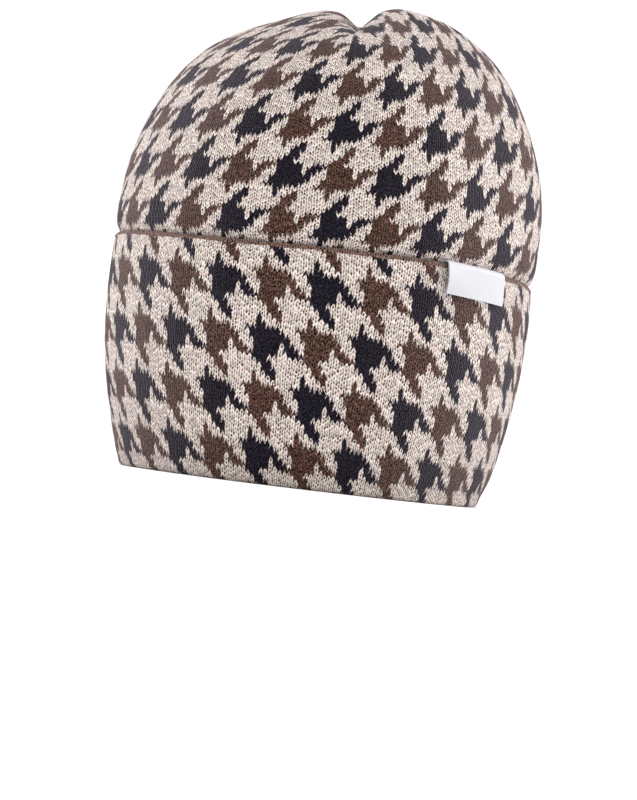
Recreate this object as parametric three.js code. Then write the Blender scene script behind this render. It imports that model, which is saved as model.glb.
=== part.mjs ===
import * as THREE from 'three';

// Knitted beanie with a deep turned-up cuff, standing on its bottom fold.
// Millimetres, +Z up, the brow towards -Y and the wearer's left towards +X.
// Radii are mean radii of the oval head opening: OVAL makes it longer than it is wide.

// Driving dimensions
const CUFF_HEIGHT = 94;
const CROWN_RISE = 105;
const RIM_RADIUS = 82.5;
const EDGE_RADIUS = 96;
const CROWN_RADIUS = 96.5;
const OVAL = 1 / 12;
const CROWN_WALL = 3.0;
const CUFF_WALL = 3.2;
const SEAT_GAP = 0.3;
const EDGE_GAP = 1.5;

// The cuff: how its side flares and barrels, the fold it stands on and the ridge along its top
const FLARE_POWER = 2.2;
const BARREL = 1.5;
const FOLD = { height: 8, flat: 2.5, roll: 0.7 };
const RIDGE_RADIUS = 1.8;

// The crown: how square its dome is, and how quickly it swells out over the cuff's edge
const DOME_POWER = 2.55;
const SWELL_HEIGHT = 1.5;

// The crown leans: how far its top moves to the side and forward, and how much it tips with that
const CROWN_LEAN = { side: 6, forward: 16, tip: 0.6 };

// Four darts close the crown and meet at a pinched centre
const DARTS = { count: 4, firstTurn: 12, length: 62, depth: 5, halfWidth: 6, puff: 2.5 };

// Soft folds and swells of the crown: centre, half extents and how far the wall moves out
const CROWN_FOLDS = [
  { turn: 125, height: 122, turnReach: 48, heightReach: 24, out: 2.0 },
  { turn: 62, height: 140, turnReach: 13, heightReach: 34, out: -1.6 },
  { turn: 84, height: 136, turnReach: 14, heightReach: 32, out: 1.2 },
  { turn: -48, height: 150, turnReach: 18, heightReach: 26, out: -1.4 },
  { turn: 205, height: 134, turnReach: 20, heightReach: 34, out: -1.6 },
];

// Broad lobes of the top: where each lies, its reach both ways, and how far it rises or sinks
const CROWN_LOBES = [
  { x: 42, y: -16, xReach: 26, yReach: 46, rise: 4.0 },
  { x: -24, y: -16, xReach: 22, yReach: 40, rise: -2.6 },
];

// Slow waves of the cuff: how many go round, where they start, their rise at the top edge and sway
const CUFF_WAVES = [
  { count: 2, turn: 100, rise: 1.2, sway: 0.0 },
  { count: 3, turn: 40, rise: 0.6, sway: 0.6 },
];

// Woven label, folded over the cuff's top edge
const LABEL = { length: 37, drop: 12.5, tuck: 8, cloth: 0.5, turn: 57, lift: 2.4 };

// Faceting: pieces round the head, and the length of a facet up the crown as it leaves the edge
const SEGMENTS = 60;
const ARC_STEPS = 6;
const CROWN_FACETS = [
  { from: 0, length: 2.0 },
  { from: 6, length: 5.0 },
  { from: 22, length: 9.5 },
  { from: 96, length: 6.5 },
];

const CREST = CUFF_HEIGHT + CROWN_RISE;
const RIDGE_HEIGHT = CUFF_HEIGHT - RIDGE_RADIUS;
const toRadians = THREE.MathUtils.degToRad;
const smooth = (value, low, high) => THREE.MathUtils.smoothstep(value, low, high);

// Outside of the cuff: flaring from the bottom fold, slightly barrelled, upright at the top edge
function cuffRadius(height) {
  const share = THREE.MathUtils.clamp(height / CUFF_HEIGHT, 0, 1);
  const flare = (EDGE_RADIUS - RIM_RADIUS) * (1 - (1 - share) ** FLARE_POWER);
  return RIM_RADIUS + flare + BARREL * Math.sin(Math.PI * share);
}

// Outside of the crown where the cuff hides it: the gap widens towards the top edge
function hiddenRadius(height) {
  const gap = SEAT_GAP + (EDGE_GAP - SEAT_GAP) * (height / CUFF_HEIGHT) ** 2;
  return cuffRadius(height) - CUFF_WALL - gap;
}

// Outside of the crown above the cuff's edge, at an angle from 0 at the edge to 90 degrees on top
function domePoint(angle) {
  const height = CUFF_HEIGHT + CROWN_RISE * Math.sin(angle) ** (2 / DOME_POWER);
  const tucked = CROWN_RADIUS - hiddenRadius(CUFF_HEIGHT);
  const swell = tucked * Math.exp(-(height - CUFF_HEIGHT) / SWELL_HEIGHT);
  const radius = (CROWN_RADIUS - swell) * Math.cos(angle) ** (2 / DOME_POWER);
  return new THREE.Vector2(radius, height);
}

// A profile moved in by a wall's thickness, square to itself
function inset(profile, wall) {
  return profile.map((point, i) => {
    const before = profile[Math.max(i - 1, 0)];
    const after = profile[Math.min(i + 1, profile.length - 1)];
    const along = new THREE.Vector2().subVectors(after, before).normalize();
    if (point.x === 0) along.set(-1, 0);
    return new THREE.Vector2(Math.max(point.x - along.y * wall, 0), point.y + along.x * wall);
  });
}

// Outside of the crown from the fold's ledge to the top; coarseness stretches the facets
function crownOutline(coarseness) {
  const foot = FOLD.height + SEAT_GAP;
  const hiddenSteps = Math.round(8 / coarseness);
  const outline = [];
  for (let i = 0; i < hiddenSteps; i++) {
    const height = foot + (CUFF_HEIGHT - foot) * (i / hiddenSteps);
    outline.push(new THREE.Vector2(hiddenRadius(height), height));
  }
  outline.push(domePoint(0));
  const fineSteps = 600;
  let travelled = 0;
  let sinceFacet = 0;
  let last = domePoint(0);
  for (let i = 1; i < fineSteps; i++) {
    const next = domePoint((i / fineSteps) * (Math.PI / 2));
    travelled += next.distanceTo(last);
    sinceFacet += next.distanceTo(last);
    last = next;
    const facet = CROWN_FACETS.findLast((row) => travelled >= row.from).length * coarseness;
    if (sinceFacet < facet || next.x < facet / 2) continue;
    outline.push(next);
    sinceFacet = 0;
  }
  outline.push(new THREE.Vector2(0, CREST));
  return outline;
}

// Crown wall: down the inside from the top to the ledge, then up the outside
function crownProfile() {
  const inside = inset(crownOutline(1.5), CROWN_WALL);
  inside[0].y = FOLD.height + SEAT_GAP;
  return [...inside.reverse(), ...crownOutline(1)];
}

// Points of a round corner about a centre, from one angle to another
function arc(centre, radius, from, to, steps = ARC_STEPS) {
  const points = [];
  for (let i = 0; i <= steps; i++) {
    const angle = from + ((to - from) * i) / steps;
    const offset = new THREE.Vector2(Math.cos(angle), Math.sin(angle)).multiplyScalar(radius);
    points.push(offset.add(centre));
  }
  return points;
}

// Cuff wall: the fold it stands on, its outside, the ridge on top and its inside, back to the ledge
function cuffProfile() {
  const quarter = Math.PI / 2;
  const layers = CUFF_WALL + SEAT_GAP + CROWN_WALL;
  const corner = (layers + 2 * FOLD.roll - FOLD.flat) / 2;
  const outer = new THREE.Vector2(RIM_RADIUS + FOLD.roll - corner, corner);
  const inner = new THREE.Vector2(outer.x - FOLD.flat, corner);
  const ridge = new THREE.Vector2(EDGE_RADIUS - CUFF_WALL / 2, RIDGE_HEIGHT);
  const sideSteps = 8;
  const sideTop = RIDGE_HEIGHT - RIDGE_RADIUS;
  const side = [];
  for (let i = 0; i <= sideSteps; i++) {
    side.push(FOLD.height + ((sideTop - FOLD.height) * i) / sideSteps);
  }
  const points = [
    new THREE.Vector2(cuffRadius(FOLD.height) - layers, FOLD.height),
    ...arc(inner, corner, 2 * quarter, 3 * quarter, 3),
    ...arc(outer, corner, 3 * quarter, 4 * quarter, 3),
    ...side.map((height) => new THREE.Vector2(cuffRadius(height), height)),
    ...arc(ridge, RIDGE_RADIUS, -quarter / 2, 2.5 * quarter),
    ...side.reverse().map((height) => new THREE.Vector2(cuffRadius(height) - CUFF_WALL, height)),
  ];
  points.push(points[0].clone());
  return points;
}

// Angle between two turns, from -180 to 180 degrees
function turnBetween(a, b) {
  return THREE.MathUtils.euclideanModulo(a - b + 180, 360) - 180;
}

// How far the wall stands out or in at the crown's folds
function foldOut(turn, height) {
  let out = 0;
  for (const fold of CROWN_FOLDS) {
    const side = turnBetween(turn, fold.turn) / fold.turnReach;
    const rise = (height - fold.height) / fold.heightReach;
    out += fold.out * Math.exp(-(side * side) - rise * rise);
  }
  return out * smooth(height, CUFF_HEIGHT, CUFF_HEIGHT + 2 * SWELL_HEIGHT);
}

// How far the darts sink the crown, and the lobes between them puff it up
function dartDrop(radius, turn) {
  const fade = 1 - smooth(radius, DARTS.length * 0.35, DARTS.length);
  const pitch = 360 / DARTS.count;
  const fromDart = toRadians(turnBetween(turn, DARTS.firstTurn) % pitch);
  const nearest = Math.abs(Math.asin(Math.sin((fromDart * DARTS.count) / 2)) / (DARTS.count / 2));
  const offset = radius * Math.sin(nearest);
  const valley = Math.exp(-((offset / DARTS.halfWidth) ** 2));
  const lobe = Math.sin(nearest * 2) ** 2 * smooth(radius, 0, DARTS.length * 0.4);
  return fade * (DARTS.depth * valley - DARTS.puff * lobe);
}

// How far the top's lobes lift or sink the wall at a point
function lobeRise(point) {
  let rise = 0;
  for (const lobe of CROWN_LOBES) {
    const side = (point.x - lobe.x) / lobe.xReach;
    const along = (point.y - lobe.y) / lobe.yReach;
    rise += lobe.rise * Math.exp(-(side * side) - along * along);
  }
  return rise;
}

// How far the cuff's waves lift it and sway it, growing from nothing at the bottom fold
function cuffWave(turn, height) {
  const share = Math.max(height / CUFF_HEIGHT, 0) ** 2;
  let rise = 0;
  let sway = 0;
  for (const wave of CUFF_WAVES) {
    const swing = Math.cos(wave.count * toRadians(turn - wave.turn));
    rise += wave.rise * swing;
    sway += wave.sway * swing;
  }
  return { rise: rise * share, sway: sway * share };
}

// Place a mean radius, a turn from the brow and a height on the oval head opening
function onOval(radius, turn, height) {
  const angle = toRadians(turn);
  const x = radius * (1 - OVAL) * Math.sin(angle);
  const y = -radius * (1 + OVAL) * Math.cos(angle);
  return new THREE.Vector3(x, y, height);
}

function placeCuff(radius, turn, height) {
  const wave = cuffWave(turn, height);
  return onOval(radius + wave.sway, turn, height + wave.rise);
}

// The crown follows the cuff's waves at the edge and loses them towards the top
function placeCrown(radius, turn, height) {
  const share = THREE.MathUtils.clamp((height - CUFF_HEIGHT) / CROWN_RISE, 0, 1);
  const wave = cuffWave(turn, Math.min(height, CUFF_HEIGHT));
  const fade = 1 - smooth(share, 0, 0.7);
  const onTop = smooth(radius, 0, CROWN_RADIUS / 2);
  const moved = radius + (foldOut(turn, height) + wave.sway * fade) * onTop;
  const drop = dartDrop(radius, turn) * smooth(share, 0.4, 0.8);
  const point = onOval(moved, turn, height + wave.rise * fade - drop);
  const slope = (2 * CROWN_LEAN.forward * share) / CROWN_RISE;
  point.z += CROWN_LEAN.tip * slope * point.y;
  point.x += CROWN_LEAN.side * share * share;
  point.y -= CROWN_LEAN.forward * share * share;
  point.z += lobeRise(point) * smooth(share, 0.3, 0.8);
  return point;
}

// Turn a round body of revolution into the soft oval one
function reshape(geometry, place) {
  const position = geometry.attributes.position;
  const vertex = new THREE.Vector3();
  for (let i = 0; i < position.count; i++) {
    vertex.fromBufferAttribute(position, i);
    const radius = Math.hypot(vertex.x, vertex.y);
    const turn = THREE.MathUtils.radToDeg(Math.atan2(vertex.x, -vertex.y));
    vertex.copy(place(radius, turn, vertex.z));
    position.setXYZ(i, vertex.x, vertex.y, vertex.z);
  }
  geometry.computeVertexNormals();
  return geometry;
}

function revolved(profile, place) {
  const geometry = new THREE.LatheGeometry(profile, SEGMENTS);
  geometry.rotateX(Math.PI / 2);
  return reshape(geometry, place);
}

// The label's section: a strip over the ridge with a long leg outside and a short one inside
function labelSection() {
  const inner = RIDGE_RADIUS + SEAT_GAP;
  const outer = inner + LABEL.cloth;
  const section = new THREE.Shape();
  section.moveTo(outer, RIDGE_RADIUS - LABEL.drop);
  section.absarc(0, 0, outer, 0, Math.PI, false);
  section.lineTo(-outer, -LABEL.tuck);
  section.lineTo(-inner, -LABEL.tuck);
  section.absarc(0, 0, inner, Math.PI, 0, true);
  section.lineTo(inner, RIDGE_RADIUS - LABEL.drop);
  section.closePath();
  return section;
}

// The label bent along the cuff's edge; its front lower corner lifts off the knit
function labelGeometry() {
  const options = { depth: LABEL.length, steps: 6, curveSegments: ARC_STEPS, bevelEnabled: false };
  const geometry = new THREE.ExtrudeGeometry(labelSection(), options);
  const position = geometry.attributes.position;
  const ridgeCentre = EDGE_RADIUS - CUFF_WALL / 2;
  for (let i = 0; i < position.count; i++) {
    const across = position.getX(i);
    const rise = position.getY(i);
    const along = 1 - position.getZ(i) / LABEL.length;
    const turn = LABEL.turn + THREE.MathUtils.radToDeg(((along - 0.5) * LABEL.length) / EDGE_RADIUS);
    const hang = Math.max(-rise, 0);
    const settle = cuffRadius(RIDGE_HEIGHT - hang) - cuffRadius(RIDGE_HEIGHT);
    const lift = across > 0 ? LABEL.lift * (1 - along) ** 3 * (hang / LABEL.drop) : 0;
    const point = placeCuff(ridgeCentre + across + settle + lift, turn, RIDGE_HEIGHT + rise);
    position.setXYZ(i, point.x, point.y, point.z);
  }
  geometry.computeVertexNormals();
  return geometry;
}

function piece(name, geometry, color, roughness) {
  const material = new THREE.MeshStandardMaterial({ color, roughness, metalness: 0 });
  const mesh = new THREE.Mesh(geometry, material);
  mesh.name = name;
  return mesh;
}

const beanie = new THREE.Group();
beanie.name = 'beanie';
beanie.add(piece('crown', revolved(crownProfile(), placeCrown), '#8c7d74', 0.95));
beanie.add(piece('cuff', revolved(cuffProfile(), placeCuff), '#84756c', 0.95));
beanie.add(piece('label', labelGeometry(), '#f1f0f4', 0.7));

export default beanie;
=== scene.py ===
# %% [markdown]
# # A knitted beanie
# This is a wool beanie knitted double, with a deep turned-up cuff, standing on its bottom fold.
# The frame gives the solid of each piece: the crown, the cuff and a small folded label. Each one
# is dressed here by a finer surface in the same place. A knitted tube is a flat panel of stitches
# rolled up, so every wall starts as a flat grid whose UV map counts stitches: one unit across is a
# wale, one unit up is a course. The panel is rolled into shape, and the knit is drawn on the map.

# %% The frame
import math

import bpy
import numpy as np
from mathutils import Matrix, Vector, noise


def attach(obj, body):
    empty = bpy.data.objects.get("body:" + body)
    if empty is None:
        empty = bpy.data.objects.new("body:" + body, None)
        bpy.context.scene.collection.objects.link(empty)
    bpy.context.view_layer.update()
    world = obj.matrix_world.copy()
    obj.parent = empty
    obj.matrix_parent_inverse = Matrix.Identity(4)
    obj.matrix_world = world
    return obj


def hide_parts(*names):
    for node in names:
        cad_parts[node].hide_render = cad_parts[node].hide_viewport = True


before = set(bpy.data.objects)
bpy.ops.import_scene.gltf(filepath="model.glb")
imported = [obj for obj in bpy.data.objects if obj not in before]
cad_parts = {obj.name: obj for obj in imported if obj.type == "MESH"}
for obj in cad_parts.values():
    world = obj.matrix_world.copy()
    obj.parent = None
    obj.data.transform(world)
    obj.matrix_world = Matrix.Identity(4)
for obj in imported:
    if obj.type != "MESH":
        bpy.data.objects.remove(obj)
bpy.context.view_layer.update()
MM = 0.001
print("frame nodes:", sorted(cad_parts))

# %% [markdown]
# ## Sizes
# The driving sizes are those of the solids, in millimetres: how high the cuff and crown stand, how
# the wall flares from the fold to the cuff's edge, and how long the oval opening is against its
# width. Everything else is worked out from them.

# %% Sizes of the hat
CUFF_HEIGHT = 94.0
CROWN_RISE = 105.0
RIM_RADIUS = 82.5
EDGE_RADIUS = 96.0
CROWN_RADIUS = 96.5
OVAL = 1 / 12
CROWN_WALL = 3.0
CUFF_WALL = 3.2
RIDGE_RADIUS = 1.8
RIDGE_HEIGHT = CUFF_HEIGHT - RIDGE_RADIUS
CREST = CUFF_HEIGHT + CROWN_RISE

# Gaps between the crown and the cuff, at the ledge of the fold and at the cuff's edge
SEAT_GAP = 0.3
EDGE_GAP = 1.5
print("the plain hat is", CREST, "mm high, and the softened one a little more")

# %% [markdown]
# ## Camera
# The photograph looks up at the hat from below its rim. A hat that stands on a floor can't be seen
# from below, so the camera takes the same side of the hat and the same framing, as low as the
# floor lets it. It is rolled a little, as the hat leans in the photograph.

# %% The camera
PHOTO = {"width": 637, "height": 800}
SENSOR = 36.0
FOCAL_PIXELS = 2200
NEAREST = 0.02
CAMERA = {"turn": 12.5, "height": 14.0, "distance": 936.0, "roll": 7.0}
AIM = {"right": 4.0, "height": 37.2}


def make_camera():
    """Puts the camera low in front of the hat, rolled a little, with the hat in the upper frame."""
    data = bpy.data.cameras.new("photo_camera")
    data.sensor_width = SENSOR
    data.lens = FOCAL_PIXELS / PHOTO["height"] * SENSOR
    data.clip_start = NEAREST
    camera = bpy.data.objects.new("photo_camera", data)
    bpy.context.scene.collection.objects.link(camera)
    bpy.context.scene.camera = camera
    turn = math.radians(CAMERA["turn"])
    back = Vector((math.sin(turn), -math.cos(turn), 0))
    right = Vector((math.cos(turn), math.sin(turn), 0))
    place = back * CAMERA["distance"] + Vector((0, 0, CAMERA["height"]))
    aim = right * AIM["right"] + Vector((0, 0, AIM["height"]))
    camera.location = place * MM
    look = (aim - place).to_track_quat("-Z", "Y").to_matrix()
    spin = Vector((0, 0, 1))
    roll = Matrix.Rotation(math.radians(CAMERA["roll"]), 3, spin)
    camera.rotation_euler = (look @ roll).to_euler()
    return camera


camera = make_camera()
print("camera at", tuple(round(value, 3) for value in camera.location))

# %% [markdown]
# ## The outline of the walls
# Both walls are bodies of revolution before they are softened, so each has an outline: radius
# against height. The crown goes up inside the cuff and swells out over its edge. It rises snugly
# behind the ridge, a little closer than in the solid, so that no dark slot shows there. The cuff
# flares from the bottom fold, is slightly barrelled, and ends in a small round ridge.

# %% Sizes of the outlines
# How soon the cuff flares and how far its middle swells, and how square the dome is: a plain round
# one has the power 2
FLARE_POWER = 2.2
BARREL = 1.5
DOME_POWER = 2.55

# The bottom fold: its height, the flat strip that it stands on, and how far it bulges past the walls
FOLD_HEIGHT = 8.0
FOLD_FLAT = 2.5
FOLD_ROLL = 0.7

# The snug rise: the gap it leaves, how far below the ridge it starts, and the reach and power of
# the swell above it
SNUG = {"gap": 0.45, "start": 14.0, "swell": 4.5, "power": 1.5}


# %% The radius of each wall
def cuff_radius(height):
    """The cuff's outside radius: a flare up from the fold and a slight barrel."""
    share = np.clip(np.asarray(height, float) / CUFF_HEIGHT, 0, 1)
    flare = (EDGE_RADIUS - RIM_RADIUS) * (1 - (1 - share) ** FLARE_POWER)
    return RIM_RADIUS + flare + BARREL * np.sin(np.pi * share)


def smooth(value, low, high):
    """A soft step from 0 at the low value to 1 at the high one."""
    share = np.clip((value - low) / (high - low), 0, 1)
    return share * share * (3 - 2 * share)


def hidden_radius(height):
    """The crown's outside radius where it goes up inside the cuff."""
    gap = SEAT_GAP + (EDGE_GAP - SEAT_GAP) * (np.asarray(height, float) / CUFF_HEIGHT) ** 2
    return cuff_radius(height) - CUFF_WALL - gap


# %% The outline of the crown
def crown_outline(low_steps=200, steps=1200):
    """Radius and height up the crown's outside, from the fold's ledge to the top."""
    low = np.linspace(FOLD_HEIGHT + SEAT_GAP, RIDGE_HEIGHT, low_steps, endpoint=False)
    snug = smooth(low, RIDGE_HEIGHT - SNUG["start"], RIDGE_HEIGHT)
    low_radius = hidden_radius(low) + (EDGE_GAP - SNUG["gap"]) * snug
    angle = np.linspace(0, np.pi / 2, steps)
    high = RIDGE_HEIGHT + (CREST - RIDGE_HEIGHT) * np.sin(angle) ** (2 / DOME_POWER)
    tucked = CROWN_RADIUS - low_radius[-1]
    above = (high - RIDGE_HEIGHT) / SNUG["swell"]
    swell = tucked * np.exp(-(above ** SNUG["power"]))
    dome = (CROWN_RADIUS - swell) * np.maximum(np.cos(angle), 0) ** (2 / DOME_POWER)
    dome[-1] = 0
    radius = np.concatenate([low_radius, dome])
    return np.stack([radius, np.concatenate([low, high])], 1)


# %% The outline of the cuff
def arc(centre, radius, start, end, steps=16):
    """Points on an arc, between two angles in radians."""
    angle = np.linspace(start, end, steps)
    return np.stack([centre[0] + radius * np.cos(angle), centre[1] + radius * np.sin(angle)], 1)


def cuff_outline(side_steps=90, ridge_steps=24):
    """Radius and height from the ledge inside the fold, under it, up the outside and back down."""
    layers = CUFF_WALL + SEAT_GAP + CROWN_WALL
    corner = (layers + 2 * FOLD_ROLL - FOLD_FLAT) / 2
    outer = (RIM_RADIUS + FOLD_ROLL - corner, corner)
    inner = (outer[0] - FOLD_FLAT, corner)
    side = np.linspace(FOLD_HEIGHT, RIDGE_HEIGHT - RIDGE_RADIUS, side_steps)
    ledge = [[float(cuff_radius(FOLD_HEIGHT)) - layers, FOLD_HEIGHT]]
    outside = np.stack([cuff_radius(side), side], 1)
    inside = np.stack([cuff_radius(side) - CUFF_WALL, side], 1)[::-1]
    ridge = (EDGE_RADIUS - CUFF_WALL / 2, RIDGE_HEIGHT)
    quarter = np.pi / 2
    return [
        np.concatenate([ledge, arc(inner, corner, 2 * quarter, 3 * quarter)]),
        np.concatenate([arc(outer, corner, 3 * quarter, 4 * quarter), outside]),
        arc(ridge, RIDGE_RADIUS, -quarter / 2, 2.5 * quarter, ridge_steps),
        inside,
    ]


# %% [markdown]
# ## Softening
# A real cap isn't round. It is oval, its crown leans a little, four darts draw it in at the top,
# broad lobes lift or sink the top, and slow folds run over the sides. Each of these is one small
# function of the place on the hat, and the solids have the same ones. A turn is counted in degrees
# from the brow towards the wearer's left.

# %% Sizes of the soft forms
# The lean of the crown's top, to the side and forwards, and how much its top tips over with it
CROWN_LEAN = {"side": 6.0, "forward": 16.0, "tip": 0.6}

# Darts: their number, the first one's turn, their reach, depth and half width, and how far the
# cloth between them puffs. The last two are shares of the reach: up to where a dart keeps its
# whole depth, and from where the puff is whole
DARTS = {
    "count": 4,
    "first_turn": 12.0,
    "reach": 62.0,
    "depth": 5.0,
    "half_width": 6.0,
    "puff": 2.5,
    "deep_to": 0.35,
    "puffed_from": 0.4,
}
CREASE = {"depth": 1.3, "half_width": 1.5, "whole_from": 6.0}

# Soft folds of the crown: turn, height, reach round, reach up, and how far the wall moves out.
# They fade out just above the cuff's edge
CROWN_FOLDS = [
    {"turn": 125, "height": 122, "turn_reach": 48, "height_reach": 24, "out": 2.0},
    {"turn": 62, "height": 140, "turn_reach": 13, "height_reach": 34, "out": -1.6},
    {"turn": 84, "height": 136, "turn_reach": 14, "height_reach": 32, "out": 1.2},
    {"turn": -48, "height": 150, "turn_reach": 18, "height_reach": 26, "out": -1.4},
    {"turn": 205, "height": 134, "turn_reach": 20, "height_reach": 34, "out": -1.6},
]
FOLD_FADE = 3.0

# Broad lobes of the top: where each lies, its reach both ways, and how far it rises or sinks
CROWN_LOBES = [
    {"x": 42, "y": -16, "x_reach": 26, "y_reach": 46, "rise": 4.0},
    {"x": -24, "y": -16, "x_reach": 22, "y_reach": 40, "rise": -2.6},
]

# Slow waves of the cuff: how many go round, where they start, their rise and their sway
CUFF_WAVES = [
    {"count": 2, "turn": 100, "rise": 1.2, "sway": 0.0},
    {"count": 3, "turn": 40, "rise": 0.6, "sway": 0.6},
]

# From where to where up the crown, as shares of its rise, the waves fade and the rest comes in
BLEND = {"waves": (0, 0.7), "darts": (0.4, 0.8), "lobes": (0.3, 0.8)}


# %% Folds of the crown and waves of the cuff
def turn_between(a, b):
    """The angle from one turn to another, the short way round."""
    return (a - b + 180) % 360 - 180


def fold_out(turn, height):
    """How far the soft folds move the crown's wall out."""
    out = np.zeros_like(turn)
    for fold in CROWN_FOLDS:
        side = turn_between(turn, fold["turn"]) / fold["turn_reach"]
        rise = (height - fold["height"]) / fold["height_reach"]
        out += fold["out"] * np.exp(-(side**2) - rise**2)
    return out * smooth(height, CUFF_HEIGHT, CUFF_HEIGHT + FOLD_FADE)


def cuff_wave(turn, height):
    """How far the cuff's slow waves lift and sway a place, most at its edge."""
    share = np.maximum(height / CUFF_HEIGHT, 0) ** 2
    rise = np.zeros_like(turn)
    sway = np.zeros_like(turn)
    for wave in CUFF_WAVES:
        swing = np.cos(wave["count"] * np.radians(turn - wave["turn"]))
        rise += wave["rise"] * swing
        sway += wave["sway"] * swing
    return rise * share, sway * share


# %% Darts and lobes of the top
def from_dart(turn):
    """Angle to the nearest dart, in radians."""
    half = DARTS["count"] / 2
    offset = np.radians(turn - DARTS["first_turn"]) * half
    return np.abs(np.arcsin(np.sin(offset)) / half)


def dart_drop(radius, turn):
    """How far the darts sink the top, less the puff of the cloth between them."""
    fade = 1 - smooth(radius, DARTS["reach"] * DARTS["deep_to"], DARTS["reach"])
    nearest = from_dart(turn)
    offset = radius * np.sin(nearest)
    valley = np.exp(-((offset / DARTS["half_width"]) ** 2))
    puff = np.sin(nearest * 2) ** 2 * smooth(radius, 0, DARTS["reach"] * DARTS["puffed_from"])
    line = np.exp(-((offset / CREASE["half_width"]) ** 2))
    crease = CREASE["depth"] * line * smooth(radius, 0, CREASE["whole_from"])
    return fade * (DARTS["depth"] * valley - DARTS["puff"] * puff + crease)


def lobe_rise(point):
    """How far the top's lobes lift or sink the wall at a point."""
    rise = np.zeros(point.shape[:-1])
    for lobe in CROWN_LOBES:
        side = (point[..., 0] - lobe["x"]) / lobe["x_reach"]
        along = (point[..., 1] - lobe["y"]) / lobe["y_reach"]
        rise += lobe["rise"] * np.exp(-(side**2) - along**2)
    return rise


# %% Placing a point on the soft hat
def on_oval(radius, turn, height):
    """A point at a radius, turn and height on the oval hat."""
    angle = np.radians(turn)
    x = radius * (1 - OVAL) * np.sin(angle)
    y = -radius * (1 + OVAL) * np.cos(angle)
    return np.stack([x, y, height], -1)


def place_cuff(radius, turn, height):
    """A point of the cuff, with its slow waves."""
    rise, sway = cuff_wave(turn, height)
    return on_oval(radius + sway, turn, height + rise)


def place_crown(radius, turn, height):
    """A point of the crown, with its waves, folds, darts, lean and lobes."""
    share = np.clip((height - CUFF_HEIGHT) / CROWN_RISE, 0, 1)
    rise, sway = cuff_wave(turn, np.minimum(height, CUFF_HEIGHT))
    fade = 1 - smooth(share, *BLEND["waves"])
    on_top = smooth(radius, 0, CROWN_RADIUS / 2)
    moved = radius + (fold_out(turn, height) + sway * fade) * on_top
    drop = dart_drop(radius, turn) * smooth(share, *BLEND["darts"])
    point = on_oval(moved, turn, height + rise * fade - drop)
    slope = 2 * CROWN_LEAN["forward"] * share / CROWN_RISE
    point[..., 2] += CROWN_LEAN["tip"] * slope * point[..., 1]
    point[..., 0] += CROWN_LEAN["side"] * share**2
    point[..., 1] -= CROWN_LEAN["forward"] * share**2
    point[..., 2] += lobe_rise(point) * smooth(share, *BLEND["lobes"])
    return point


# %% [markdown]
# ## Rolling up a panel
# A flat grid is the knitted panel. Its columns go round the hat and its rows follow the outline. An
# outline is cut into equal steps, and each step carries its count of courses, so the stitches stay
# the same size however the wall bends. At the top of the crown the darts take up fabric: each
# quarter keeps its wales parallel to its middle, and the pattern is cut where two quarters meet.

# %% Outlines in equal steps
TINY = 1e-9


def resample(points, step):
    """Cuts an outline into equal steps; returns the points and their distance along it."""
    points = np.asarray(points, float)
    gaps = np.hypot(*np.diff(points, axis=0).T)
    along = np.concatenate([[0], np.cumsum(gaps)])
    count = max(2, int(round(along[-1] / step)) + 1)
    even = np.linspace(0, along[-1], count)
    even_points = np.stack([np.interp(even, along, points[:, k]) for k in (0, 1)], 1)
    return even_points, even


def direction(points):
    """The unit direction of an outline at each of its points."""
    along = np.gradient(points, axis=0)
    return along / np.maximum(np.hypot(along[:, 0], along[:, 1]), TINY)[:, None]


def inset(points, wall):
    """An outline moved in by a wall's thickness, square to itself."""
    along = direction(points)
    along[points[:, 0] == 0] = (-1, 0)
    moved = np.stack([points[:, 0] - along[:, 1] * wall, points[:, 1] + along[:, 0] * wall], 1)
    moved[:, 0] = np.maximum(moved[:, 0], 0)
    return moved


def outline_normal(points):
    """The way out of the wall, square to its outline."""
    along = direction(points)
    return np.stack([along[:, 1], -along[:, 0]], 1)


# %% The lumps of soft cloth
# Two sizes of slow, uneven swell. They die away near the floor and in the middle of the top: each
# pair says between which heights, or radii
SWELLS = [
    {"size": 34.0, "shift": 0.0, "rise": 0.6},
    {"size": 11.0, "shift": 200.0, "rise": 0.18},
]
CALM = {"height": (1.5, 12.0), "radius": (2.0, 20.0)}


def lumps(points, height, radius):
    """How far the swells move a soft wall at each point."""
    out = np.zeros(len(points))
    for swell in SWELLS:
        places = (points + swell["shift"]) / swell["size"]
        out += np.array([noise.noise(Vector(place)) for place in places]) * swell["rise"]
    return out * (smooth(height, *CALM["height"]) * smooth(radius, *CALM["radius"]))


# %% The map of stitches
# Wales round the tube, the height of a course, and how the darts take up wales: from which share
# of the crown's radius inwards, how fast, and the least share that is left
WALES = 280
COURSE = 1.6
GATHER = {"start": 0.62, "power": 0.75, "least": 1e-3}
for part, size in {"rim": RIM_RADIUS, "cuff's edge": EDGE_RADIUS}.items():
    print("at the", part, "a wale is", round(2 * math.pi * size / WALES, 2), "mm wide")


def kept_share(radius):
    """The share of the wales that reach this far up: the darts take up the rest."""
    start = GATHER["start"] * CROWN_RADIUS
    share = np.maximum(radius / start, GATHER["least"]) ** GATHER["power"]
    return np.where(radius < start, share, 1.0)


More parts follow.
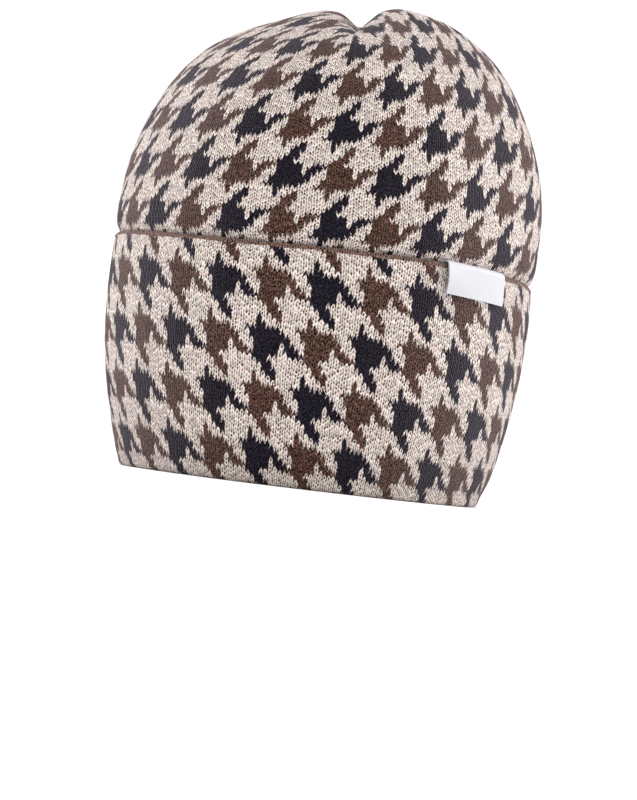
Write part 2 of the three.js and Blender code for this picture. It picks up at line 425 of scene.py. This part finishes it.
def map_stitches(mesh, outline, courses, rows, gathered):
    """Turns the grid's own map into stitches: wales across, courses up."""
    layer = mesh.uv_layers[0]
    layer.name = "stitches"
    corner = np.empty(len(mesh.loops) * 2)
    layer.uv.foreach_get("vector", corner)
    corner = corner.reshape(-1, 2)
    row = np.rint(corner[:, 1] * rows).astype(int)
    wale = corner[:, 0] * WALES
    if gathered:
        face_of = np.repeat(np.arange(len(mesh.polygons)), 4)
        middle = np.bincount(face_of, corner[:, 0]) / 4
        quarter = np.floor(middle * DARTS["count"])[face_of]
        quarter_wales = WALES / DARTS["count"]
        centre = (quarter + 0.5) * quarter_wales
        wale = centre + (wale - centre) * kept_share(outline[row, 0])
    layer.uv.foreach_set("vector", np.stack([wale, courses[row]], 1).ravel())


# %% Rolling up
COLUMNS = 240
WELD = 1e-6


def flat_grid(name, columns, rows):
    """Adds a flat grid; returns it with each vertex's place on it, from 0 to 1 both ways."""
    bpy.ops.object.select_all(action="DESELECT")
    bpy.ops.mesh.primitive_grid_add(
        x_subdivisions=columns, y_subdivisions=rows, size=1, calc_uvs=True
    )
    grid = bpy.context.object
    grid.name = name
    places = np.empty(len(grid.data.vertices) * 3)
    grid.data.vertices.foreach_get("co", places)
    return grid, places.reshape(-1, 3) + 0.5


def roll_panel(name, outline, courses, place, gathered=False):
    """Rolls a flat grid up along an outline and writes its map of stitches."""
    rows = len(outline) - 1
    panel, flat = flat_grid(name, COLUMNS, rows)
    mesh = panel.data
    mesh.name = name
    row = np.rint(flat[:, 1] * rows).astype(int)
    column = np.rint(flat[:, 0] * COLUMNS).astype(int) % COLUMNS
    turn = DARTS["first_turn"] + column * 360 / COLUMNS
    radius = outline[row, 0]
    height = outline[row, 1]
    out = lumps(place(radius, turn, height), height, radius)
    normals = outline_normal(outline)
    normals[-1] = normals[0]
    normal = normals[row]
    shaped = place(radius + normal[:, 0] * out, turn, height + normal[:, 1] * out)
    mesh.vertices.foreach_set("co", (shaped * MM).ravel())
    map_stitches(mesh, outline, courses, rows, gathered)
    bpy.ops.object.mode_set(mode="EDIT")
    bpy.ops.mesh.select_all(action="SELECT")
    bpy.ops.mesh.remove_doubles(threshold=WELD)
    bpy.ops.mesh.delete_loose(use_verts=True, use_edges=True, use_faces=False)
    bpy.ops.object.mode_set(mode="OBJECT")
    bpy.ops.object.shade_smooth()
    mesh.update()
    print(name, "has", len(mesh.polygons), "faces")
    return panel


# %% [markdown]
# ## The crown
# The crown is two layers of knitting that act as one soft wall. It could be a sphere cut open, but
# then the stitches would crowd at the pole. A rolled panel keeps them even up to the darts, as on
# the real cap. The panel's rows run up the outside, turn in at the pinched top and run down inside.

# %% The crown
OUTSIDE_STEP = 2.0
INSIDE_STEP = 3.6


def make_crown():
    """The crown's double wall, up the outside and down the inside."""
    outer, outer_along = resample(crown_outline(), OUTSIDE_STEP)
    inner, inner_along = resample(inset(crown_outline(), CROWN_WALL), INSIDE_STEP)
    inner[0, 1] = FOLD_HEIGHT + SEAT_GAP
    inner[-1, 0] = 0
    outline = np.concatenate([outer, inner[::-1], outer[:1]])
    courses = np.concatenate([outer_along, inner_along[::-1], outer_along[:1]]) / COURSE
    crown = roll_panel("crown_knitting", outline, courses, place_crown, gathered=True)
    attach(crown, "root")
    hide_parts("crown")
    return crown


crown = make_crown()

# %% [markdown]
# ## The cuff
# The cuff is the same tube turned up on the outside, so its stitches stand on their heads and the
# pattern's slant is reversed. Its course count therefore falls from the fold up to the edge. A
# brown turning row makes the ridge along the top.

# %% The cuff
CUFF_STEP = 1.6
FINE_STEP = 0.2


def make_cuff():
    """The cuff's double wall with its fold and ridge, and the course that the ridge lies at."""
    fold, wall, ridge, inside = cuff_outline()
    outer, outer_along = resample(np.concatenate([fold, wall, ridge]), CUFF_STEP)
    inner, inner_along = resample(np.concatenate([ridge[-1:], inside]), INSIDE_STEP)
    outline = np.concatenate([outer, inner[1:], outer[:1]])
    fabric = np.concatenate([outer_along, outer_along[-1] + inner_along[1:], [0]])
    fold_length = resample(fold, FINE_STEP)[1][-1]
    courses = -(fabric - fold_length) / COURSE
    cuff = roll_panel("cuff_knitting", outline, courses, place_cuff)
    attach(cuff, "root")
    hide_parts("cuff")
    crest = outer_along[np.argmax(outer[:, 1])]
    ridge_course = -(crest - fold_length) / COURSE
    return cuff, ridge_course


cuff, ridge_course = make_cuff()
print("the ridge lies at course", round(ridge_course, 1))

# %% [markdown]
# ## The label
# The label is a strip of woven ribbon, folded over the cuff's edge. A flat grid is bent over the
# ridge and given its thickness with Solidify, and its front end bows off the knitting.

# %% Sizes of the label
# Its length round the hat, the drop of its outer leg, the tuck of its inner one, the thickness of
# its cloth and its turn from the brow
LABEL = {"length": 37.0, "drop": 12.5, "tuck": 8.0, "cloth": 0.5, "turn": 57.0}

# How its front end bows off: how far, how fast that fades along the label, from where and over how
# much of a half wave it bows, and how much of the lift goes up as well
BOW = {"lift": 2.4, "fade": 2.5, "start": 0.2, "span": 0.68, "up": 0.3}
LABEL_GRID = {"columns": 56, "rows": 44}
LABEL_STEP = 0.05
SHARP_ANGLE = 40


# %% The label
def make_label():
    """The folded ribbon, and its length before it is folded."""
    label, flat = flat_grid("woven_label", **LABEL_GRID)
    mesh = label.data
    mesh.uv_layers[0].name = "weave"
    middle = RIDGE_RADIUS + SEAT_GAP + LABEL["cloth"] / 2
    outer_leg = [[middle, RIDGE_RADIUS - LABEL["drop"]]]
    inner_leg = [[-middle, -LABEL["tuck"]]]
    section = np.concatenate([outer_leg, arc((0, 0), middle, 0, np.pi), inner_leg])
    section, along = resample(section, LABEL_STEP)
    at = flat[:, 1] * along[-1]
    across = np.interp(at, along, section[:, 0])
    rise = np.interp(at, along, section[:, 1])
    share = flat[:, 0]
    turn = LABEL["turn"] + np.degrees((share - 0.5) * LABEL["length"] / EDGE_RADIUS)
    hang = np.maximum(-rise, 0)
    settle = cuff_radius(RIDGE_HEIGHT - hang) - cuff_radius(RIDGE_HEIGHT)
    outside = np.clip((across + middle) / (2 * middle), 0, 1)
    bow = np.sin(np.pi * (BOW["start"] + BOW["span"] * hang / LABEL["drop"]))
    lift = BOW["lift"] * outside * (1 - share) ** BOW["fade"] * bow
    ridge_centre = EDGE_RADIUS - CUFF_WALL / 2
    radius = ridge_centre + across + settle + lift
    shaped = place_cuff(radius, turn, RIDGE_HEIGHT + rise + BOW["up"] * lift)
    mesh.vertices.foreach_set("co", (shaped * MM).ravel())
    solidify = label.modifiers.new("ribbon thickness", "SOLIDIFY")
    solidify.thickness = LABEL["cloth"] * MM
    solidify.offset = 0
    bpy.ops.object.modifier_apply(modifier=solidify.name)
    bpy.ops.object.shade_smooth_by_angle(angle=math.radians(SHARP_ANGLE))
    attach(label, "root")
    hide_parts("label")
    print("the label's ribbon is", round(along[-1], 1), "mm long before it is folded")
    return label, along[-1]


label, ribbon = make_label()

# %% [markdown]
# ## Wool knitting
# The cloth is fine-gauge stocking stitch in lambswool: each stitch shows as a V of two soft strands.
# It could be modelled strand by strand, but at 280 wales round that is far too heavy, so the relief
# is bump and the colour comes stitch by stitch from a chart. The chart is a dogtooth with teeth of
# 10 wales by 14 courses, navy and brown in turn on cream. Colours change along the V's edges, as
# they do in real jacquard knitting. What makes it read as wool is unevenness: the wales wander, the
# hollows between the strands differ in depth and place, and the dark yarns are heathered with paler
# fibres. A weak sheen stands for the fine fuzz, which only shows where the cloth turns away. Each
# noise is set per stitch of the map, so a scale of 1 is about 2.1 mm across and 1.6 mm up.
# The hollows between the strands get painted shade, partly the dark yarn seen through them.

# %% Colours and the node helper
CREAM = "#e3d5cd"
NAVY = "#221e29"
BROWN = "#5b4239"
RIDGE_BROWN = "#80645a"
# Painted shade for the hollows between the strands, partly the dark yarn seen through them
HOLLOW_SHADE_AND_FLOATS = "#42372f"
FUZZ = "#f1e4f0"


def linear(code):
    """An sRGB hex colour as linear light, with full alpha."""
    parts = [int(code[k : k + 2], 16) / 255 for k in (1, 3, 5)]
    return [c / 12.92 if c <= 0.04045 else ((c + 0.055) / 1.055) ** 2.4 for c in parts] + [1.0]


def add(tree, kind, inputs=None, **settings):
    """Adds a node with its settings; an input is a value or a socket. Returns its first output."""
    node = tree.nodes.new(kind)
    for name, value in settings.items():
        setattr(node, name, value)
    for key, value in (inputs or {}).items():
        if isinstance(value, bpy.types.NodeSocket):
            tree.links.new(value, node.inputs[key])
        else:
            node.inputs[key].default_value = value
    return node.outputs[0] if node.outputs else node


# %% Where a point lies in its stitch
# How steep a V's strands are, in courses to half a wale, and the clouds of noise that the yarn
# wanders by: the scale of each, and over how many stitches it spreads the yarn
STITCH_SLOPE = 1.35
WANDER = [
    {"scale": 0.12, "reach": 0.9},
    {"scale": 0.45, "reach": 0.5},
    {"scale": 1.6, "reach": 0.36},
    {"scale": 4.0, "reach": 0.14},
]
NOISE_MIDDLE = (0.5, 0.5, 0.5)


def stitch_places(tree):
    """Splits the stitch map into wale, course and the place inside one strand."""
    sockets = {}
    chart = add(tree, "ShaderNodeUVMap", uv_map="stitches")
    place = chart
    for step in WANDER:
        inputs = {"Vector": chart, "Scale": step["scale"], "Detail": 1.0}
        cloud = add(tree, "ShaderNodeTexNoise", inputs).node.outputs["Color"]
        inputs = {0: cloud, 1: NOISE_MIDDLE}
        centred = add(tree, "ShaderNodeVectorMath", inputs, operation="SUBTRACT")
        inputs = {0: centred, "Scale": step["reach"]}
        moved = add(tree, "ShaderNodeVectorMath", inputs, operation="SCALE")
        place = add(tree, "ShaderNodeVectorMath", {0: place, 1: moved}, operation="ADD")
    split = add(tree, "ShaderNodeSeparateXYZ", {0: place}).node
    sockets["place"] = place
    sockets["wale"] = add(tree, "ShaderNodeMath", {0: split.outputs["X"]}, operation="FLOOR")
    inside = add(tree, "ShaderNodeMath", {0: split.outputs["X"]}, operation="FRACT")
    centred = add(tree, "ShaderNodeMath", {0: inside, 1: 0.5}, operation="SUBTRACT")
    half = add(tree, "ShaderNodeMath", {0: centred}, operation="ABSOLUTE")
    across = add(tree, "ShaderNodeMath", {0: half, 1: 2.0}, operation="MULTIPLY")
    inputs = {0: across, 1: -STITCH_SLOPE, 2: split.outputs["Y"]}
    rise = add(tree, "ShaderNodeMath", inputs, operation="MULTIPLY_ADD")
    sockets["across"] = across
    sockets["edge"] = add(tree, "ShaderNodeMath", {0: split.outputs["X"]}, operation="ROUND")
    sockets["course"] = add(tree, "ShaderNodeMath", {0: rise}, operation="FLOOR")
    sockets["up"] = add(tree, "ShaderNodeMath", {0: rise}, operation="FRACT")
    sockets["height"] = split.outputs["Y"]
    return sockets


# %% The hollows between the strands
# The pits in the wales and the gaps between them lie half a course apart, so they make a net
PIT = {"middle": 0.2, "half_width": 0.48, "half_height": 0.6}
GAP = {"middle": 0.7, "half_width": 0.52, "half_height": 0.62}

# What differs from one hollow to the next: how far it may shift, in courses, and its least depth.
# Its edge is soft, from just past its rim in to its floor
UNEVEN = {"shift": 0.26, "least": 0.5, "rim": 1.05, "floor": 0.4}


def hollow(tree, column, side, height, middle, half_width, half_height):
    """An oval hollow once in every course, with its own depth and shift: sunk, and given painted
    shade.
    """
    past = add(tree, "ShaderNodeMath", {0: height, 1: middle}, operation="SUBTRACT")
    row = add(tree, "ShaderNodeMath", {0: past}, operation="ROUND")
    past = add(tree, "ShaderNodeMath", {0: past, 1: row}, operation="SUBTRACT")
    key = add(tree, "ShaderNodeCombineXYZ", {0: column, 1: row, 2: middle})
    chance = add(tree, "ShaderNodeTexWhiteNoise", {"Vector": key}, noise_dimensions="3D")
    inputs = {"Value": chance, "To Min": -UNEVEN["shift"], "To Max": UNEVEN["shift"]}
    shift = add(tree, "ShaderNodeMapRange", inputs)
    past = add(tree, "ShaderNodeMath", {0: past, 1: shift}, operation="ADD")
    past = add(tree, "ShaderNodeMath", {0: past, 1: half_height}, operation="DIVIDE")
    side = add(tree, "ShaderNodeMath", {0: side, 1: half_width}, operation="DIVIDE")
    oval = add(tree, "ShaderNodeCombineXYZ", {0: side, 1: past})
    away = add(tree, "ShaderNodeVectorMath", {0: oval}, operation="LENGTH").node.outputs["Value"]
    inputs = {"Value": away, "From Min": UNEVEN["rim"], "From Max": UNEVEN["floor"]}
    spot = add(tree, "ShaderNodeMapRange", inputs, interpolation_type="SMOOTHSTEP")
    inputs = {"Value": chance, "To Min": UNEVEN["least"], "To Max": 1.0}
    depth = add(tree, "ShaderNodeMapRange", inputs)
    return add(tree, "ShaderNodeMath", {0: spot, 1: depth}, operation="MULTIPLY")


# %% The relief of a stitch
# A strand's section is part of a half wave, rounded by a power, and a link is lower at its ends.
# The groove beside a strand is sunk and given painted shade below a certain relief, and only weakly
STRAND = {"start": 0.17, "span": 0.74, "power": 0.7}
LINK = {"depth": 0.3, "power": 0.6}
GROOVE = {"relief": 0.7, "dark": 0.2}


def stitch_relief(tree, at):
    """Two fat strands to a stitch, a pit where they part and a gap where two wales meet."""
    inputs = {0: at["across"], 1: STRAND["span"] * math.pi, 2: STRAND["start"] * math.pi}
    angle = add(tree, "ShaderNodeMath", inputs, operation="MULTIPLY_ADD")
    strand = add(tree, "ShaderNodeMath", {0: angle}, operation="SINE")
    strand = add(tree, "ShaderNodeMath", {0: strand, 1: STRAND["power"]}, operation="POWER")
    angle = add(tree, "ShaderNodeMath", {0: at["up"], 1: math.pi}, operation="MULTIPLY")
    link = add(tree, "ShaderNodeMath", {0: angle}, operation="SINE")
    link = add(tree, "ShaderNodeMath", {0: link, 1: LINK["power"]}, operation="POWER")
    inputs = {0: link, 1: LINK["depth"], 2: 1 - LINK["depth"]}
    link = add(tree, "ShaderNodeMath", inputs, operation="MULTIPLY_ADD")
    relief = add(tree, "ShaderNodeMath", {0: strand, 1: link}, operation="MULTIPLY")
    pit = hollow(tree, at["wale"], at["across"], at["height"], **PIT)
    from_edge = add(tree, "ShaderNodeMath", {0: 1.0, 1: at["across"]}, operation="SUBTRACT")
    gap = hollow(tree, at["edge"], from_edge, at["height"], **GAP)
    hole = add(tree, "ShaderNodeMath", {0: pit, 1: gap}, operation="MAXIMUM")
    # Painted shade: the groove darkens where the relief is low, and sinks the bump there too
    inputs = {"Value": relief, "From Max": GROOVE["relief"], "To Min": GROOVE["dark"], "To Max": 0.0}
    groove = add(tree, "ShaderNodeMapRange", inputs, interpolation_type="SMOOTHSTEP")
    hole = add(tree, "ShaderNodeMath", {0: hole, 1: groove}, operation="MAXIMUM")
    return relief, hole


# %% The chart of the dogtooth
# A tooth is two blocks wide and two high. A stitch whose place in that square differs by more than
# so many blocks between the two ways is the tip of the next tooth, and takes its colour
BLOCK_WALES = 5
BLOCK_COURSES = 7
TIP = 1.25


def dogtooth(tree, at):
    """Says for each stitch whether it is dark, and whether its tooth is navy or brown."""
    inputs = {0: at["wale"], 1: 1 / BLOCK_WALES, 2: 0.5 / BLOCK_WALES}
    a = add(tree, "ShaderNodeMath", inputs, operation="MULTIPLY_ADD")
    inputs = {0: at["course"], 1: 1 / BLOCK_COURSES, 2: 0.5 / BLOCK_COURSES}
    b = add(tree, "ShaderNodeMath", inputs, operation="MULTIPLY_ADD")
    a_in = add(tree, "ShaderNodeMath", {0: a, 1: 2.0}, operation="FLOORED_MODULO")
    b_in = add(tree, "ShaderNodeMath", {0: b, 1: 2.0}, operation="FLOORED_MODULO")
    standing = add(tree, "ShaderNodeMath", {0: a_in, 1: 1.0}, operation="LESS_THAN")
    lying = add(tree, "ShaderNodeMath", {0: b_in, 1: 1.0}, operation="LESS_THAN")
    slant = add(tree, "ShaderNodeMath", {0: a, 1: b}, operation="SUBTRACT")
    twill = add(tree, "ShaderNodeMath", {0: slant, 1: 1.0}, operation="FLOORED_MODULO")
    over = add(tree, "ShaderNodeMath", {0: twill, 1: 0.5}, operation="LESS_THAN")
    dark = add(tree, "ShaderNodeMix", {0: over, 2: lying, 3: standing})
    a_tooth = add(tree, "ShaderNodeMath", {0: a, 1: 0.5}, operation="MULTIPLY")
    a_tooth = add(tree, "ShaderNodeMath", {0: a_tooth}, operation="FLOOR")
    b_tooth = add(tree, "ShaderNodeMath", {0: b, 1: 0.5}, operation="MULTIPLY")
    b_tooth = add(tree, "ShaderNodeMath", {0: b_tooth}, operation="FLOOR")
    reach = add(tree, "ShaderNodeMath", {0: a_in, 1: b_in}, operation="SUBTRACT")
    reach = add(tree, "ShaderNodeMath", {0: reach}, operation="ABSOLUTE")
    tip = add(tree, "ShaderNodeMath", {0: reach, 1: TIP}, operation="GREATER_THAN")
    tooth = add(tree, "ShaderNodeMath", {0: a_tooth, 1: b_tooth}, operation="ADD")
    tooth = add(tree, "ShaderNodeMath", {0: tooth, 1: tip}, operation="ADD")
    brown = add(tree, "ShaderNodeMath", {0: tooth, 1: 2.0}, operation="FLOORED_MODULO")
    return dark, brown


# %% The heathered fibres
# How strongly the fibres differ in lightness and in tint, in the cream yarn and in the dark ones,
# and how much lighter or darker one whole stitch is than another
MARL = {"scale": 2.2, "cream": 0.8, "dark": 5.5}
TINT = {"scale": 0.9, "cream": 0.2, "dark": 0.5}
STITCH_SHADE = {"low": 0.88, "high": 1.1}


def heather(tree, at, dark):
    """How light or dark and how tinted the fibres are: far more uneven in the dark yarns."""
    inputs = {"Vector": at["place"], "Scale": MARL["scale"], "Detail": 3.0}
    marl = add(tree, "ShaderNodeTexNoise", inputs)
    marl = add(tree, "ShaderNodeMath", {0: marl, 1: 0.5}, operation="SUBTRACT")
    inputs = {0: dark, 1: MARL["dark"] - MARL["cream"], 2: MARL["cream"]}
    strength = add(tree, "ShaderNodeMath", inputs, operation="MULTIPLY_ADD")
    shade = add(tree, "ShaderNodeMath", {0: marl, 1: strength, 2: 1.0}, operation="MULTIPLY_ADD")
    stitch = add(tree, "ShaderNodeCombineXYZ", {0: at["wale"], 1: at["course"]})
    chance = add(tree, "ShaderNodeTexWhiteNoise", {"Vector": stitch}, noise_dimensions="2D")
    inputs = {"Value": chance, "To Min": STITCH_SHADE["low"], "To Max": STITCH_SHADE["high"]}
    each = add(tree, "ShaderNodeMapRange", inputs)
    shade = add(tree, "ShaderNodeMath", {0: shade, 1: each}, operation="MULTIPLY")
    inputs = {"Vector": at["place"], "Scale": TINT["scale"], "Detail": 1.0}
    tint = add(tree, "ShaderNodeTexNoise", inputs).node.outputs["Color"]
    tint = add(tree, "ShaderNodeVectorMath", {0: tint, 1: NOISE_MIDDLE}, operation="SUBTRACT")
    inputs = {0: dark, 1: TINT["dark"] - TINT["cream"], 2: TINT["cream"]}
    strength = add(tree, "ShaderNodeMath", inputs, operation="MULTIPLY_ADD")
    tint = add(tree, "ShaderNodeVectorMath", {0: tint, "Scale": strength}, operation="SCALE")
    tint = add(tree, "ShaderNodeVectorMath", {0: tint, 1: (1, 1, 1)}, operation="ADD")
    return add(tree, "ShaderNodeVectorMath", {0: tint, "Scale": shade}, operation="SCALE")


# %% The wool
# The ridge's brown row: how many courses it takes, and how far outside the crest its middle lies.
# The relief's height is in millimetres, and the other two are shares of it
RIDGE_COURSES = 2.2
RIDGE_OUTSIDE = 0.4
RELIEF = {"height": 0.5, "fibre": 0.25, "hollow": 0.5}
FIBRE_SCALE = 9.0


def wool_knitting():
    """Heathered lambswool in stocking stitch: matt, soft at the edges, painted shade between the
    strands.
    """
    material = bpy.data.materials.new("lambswool_stocking_stitch")
    material.use_nodes = True
    tree = material.node_tree
    tree.nodes.clear()
    at = stitch_places(tree)
    relief, hole = stitch_relief(tree, at)
    dark, brown = dogtooth(tree, at)
    inputs = {0: brown, 6: linear(NAVY), 7: linear(BROWN)}
    tooth = add(tree, "ShaderNodeMix", inputs, data_type="RGBA").node.outputs[2]
    inputs = {0: dark, 6: linear(CREAM), 7: tooth}
    colour = add(tree, "ShaderNodeMix", inputs, data_type="RGBA").node.outputs[2]
    middle = ridge_course + RIDGE_OUTSIDE
    from_ridge = add(tree, "ShaderNodeMath", {0: at["height"], 1: middle}, operation="SUBTRACT")
    from_ridge = add(tree, "ShaderNodeMath", {0: from_ridge}, operation="ABSOLUTE")
    inputs = {0: from_ridge, 1: RIDGE_COURSES / 2}
    ridge = add(tree, "ShaderNodeMath", inputs, operation="LESS_THAN")
    inputs = {0: ridge, 6: colour, 7: linear(RIDGE_BROWN)}
    colour = add(tree, "ShaderNodeMix", inputs, data_type="RGBA").node.outputs[2]
    fibres = heather(tree, at, dark)
    colour = add(tree, "ShaderNodeVectorMath", {0: colour, 1: fibres}, operation="MULTIPLY")
    # Painted shade: the hollows and grooves between the strands darken the colour, partly the dark
    # yarn behind
    hollow_shade = linear(HOLLOW_SHADE_AND_FLOATS)[:3]
    shadow = add(tree, "ShaderNodeVectorMath", {0: colour, 1: hollow_shade}, operation="MULTIPLY")
    inputs = {0: hole, 6: colour, 7: shadow}
    colour = add(tree, "ShaderNodeMix", inputs, data_type="RGBA").node.outputs[2]
    inputs = {"Vector": at["place"], "Scale": FIBRE_SCALE, "Detail": 2.0}
    fibre = add(tree, "ShaderNodeTexNoise", inputs)
    inputs = {0: hole, 1: -RELIEF["hollow"], 2: relief}
    sunk = add(tree, "ShaderNodeMath", inputs, operation="MULTIPLY_ADD")
    inputs = {0: fibre, 1: RELIEF["fibre"], 2: sunk}
    height = add(tree, "ShaderNodeMath", inputs, operation="MULTIPLY_ADD")
    inputs = {"Height": height, "Strength": 1.0, "Distance": RELIEF["height"] * MM}
    bump = add(tree, "ShaderNodeBump", inputs)
    inputs = {
        "Base Color": colour,
        "Roughness": 0.92,
        "Specular IOR Level": 0.08,
        "Sheen Weight": 0.26,
        "Sheen Roughness": 0.22,
        "Sheen Tint": linear(FUZZ),
        "Normal": bump,
    }
    skin = add(tree, "ShaderNodeBsdfPrincipled", inputs)
    add(tree, "ShaderNodeOutputMaterial", {"Surface": skin})
    return material


wool = wool_knitting()
for piece in (crown, cuff):
    piece.data.materials.clear()
    piece.data.materials.append(wool)

# %% [markdown]
# ## Label ribbon
# The label is damask ribbon woven in white polyester: a smooth, slightly glossy cloth with very
# fine ribs both ways. Its threads are a quarter of a millimetre apart.

# %% The ribbon
# How high the lower ribs are against the others, the shade between threads, and the relief
LABEL_WHITE = "#b4b3b8"
THREAD = 0.25
RIBS = {"lower": 0.4, "shade": 0.9, "height": 0.05}


def damask_ribbon():
    """White woven polyester: smooth, a little glossy, with ribs as fine as its threads."""
    material = bpy.data.materials.new("white_damask_ribbon")
    material.use_nodes = True
    tree = material.node_tree
    tree.nodes.clear()
    weave = add(tree, "ShaderNodeUVMap", uv_map="weave")
    sizes = (LABEL["length"] / THREAD, ribbon / THREAD, 1)
    threads = add(tree, "ShaderNodeVectorMath", {0: weave, 1: sizes}, operation="MULTIPLY")
    split = add(tree, "ShaderNodeSeparateXYZ", {0: threads}).node
    waves = []
    for socket in (split.outputs["X"], split.outputs["Y"]):
        angle = add(tree, "ShaderNodeMath", {0: socket, 1: math.pi}, operation="MULTIPLY")
        wave = add(tree, "ShaderNodeMath", {0: angle}, operation="SINE")
        waves.append(add(tree, "ShaderNodeMath", {0: wave}, operation="ABSOLUTE"))
    inputs = {0: waves[1], 1: RIBS["lower"], 2: waves[0]}
    height = add(tree, "ShaderNodeMath", inputs, operation="MULTIPLY_ADD")
    inputs = {"Value": height, "From Max": 1 + RIBS["lower"], "To Min": RIBS["shade"], "To Max": 1.0}
    shade = add(tree, "ShaderNodeMapRange", inputs)
    inputs = {0: linear(LABEL_WHITE)[:3], "Scale": shade}
    colour = add(tree, "ShaderNodeVectorMath", inputs, operation="SCALE")
    inputs = {"Height": height, "Strength": 0.5, "Distance": RIBS["height"] * MM}
    bump = add(tree, "ShaderNodeBump", inputs)
    inputs = {"Base Color": colour, "Roughness": 0.55, "Sheen Weight": 0.2, "Normal": bump}
    skin = add(tree, "ShaderNodeBsdfPrincipled", inputs)
    add(tree, "ShaderNodeOutputMaterial", {"Surface": skin})
    return material


label.data.materials.clear()
label.data.materials.append(damask_ribbon())

# %% [markdown]
# ## Floor and light
# The photograph is a high-key product shot: a white room, one broad soft light from the upper left
# and a weaker one on the right. A third hangs above, and two more behind the hat pale its edges, as
# the white room does. The floor is pale and matt, and runs on without an edge.

# %% The floor
FLOOR_SIZE = 40.0
FLOOR_WHITE = "#f6f6f6"


def make_floor():
    """A pale matt floor that runs out of sight."""
    bpy.ops.object.select_all(action="DESELECT")
    bpy.ops.mesh.primitive_plane_add(size=FLOOR_SIZE)
    floor = bpy.context.object
    floor.name = "floor"
    material = bpy.data.materials.new("pale_floor")
    material.use_nodes = True
    tree = material.node_tree
    tree.nodes.clear()
    inputs = {"Base Color": linear(FLOOR_WHITE), "Roughness": 0.9}
    skin = add(tree, "ShaderNodeBsdfPrincipled", inputs)
    add(tree, "ShaderNodeOutputMaterial", {"Surface": skin})
    floor.data.materials.append(material)


make_floor()

# %% The lights
ROOM_STRENGTH = 1.1
LIGHTS = [
    {"name": "key", "place": (-1.1, -1.0, 1.5), "size": 1.2, "power": 7.0},
    {"name": "fill", "place": (1.5, -1.1, 0.8), "size": 1.4, "power": 3.5},
    {"name": "rim_left", "place": (-1.3, 0.7, 0.9), "size": 0.9, "power": 20.0},
    {"name": "rim_right", "place": (1.3, 0.8, 0.9), "size": 0.9, "power": 19.0},
    {"name": "top", "place": (0.1, 0.1, 1.9), "size": 1.4, "power": 14.0},
]


def make_lights():
    """Round soft lights, all aimed at the cuff's edge, in a white room."""
    aim = Vector((0, 0, CUFF_HEIGHT * MM))
    for row in LIGHTS:
        data = bpy.data.lights.new(row["name"], "AREA")
        data.shape = "DISK"
        data.size = row["size"]
        data.energy = row["power"]
        light = bpy.data.objects.new(row["name"], data)
        light.location = row["place"]
        light.rotation_euler = (aim - light.location).to_track_quat("-Z", "Y").to_euler()
        bpy.context.scene.collection.objects.link(light)
    world = bpy.data.worlds.new("white_room")
    world.use_nodes = True
    room = world.node_tree.nodes["Background"]
    room.inputs["Color"].default_value = (1, 1, 1, 1)
    room.inputs["Strength"].default_value = ROOM_STRENGTH
    bpy.context.scene.world = world


make_lights()
bpy.context.scene.view_settings.view_transform = "Standard"
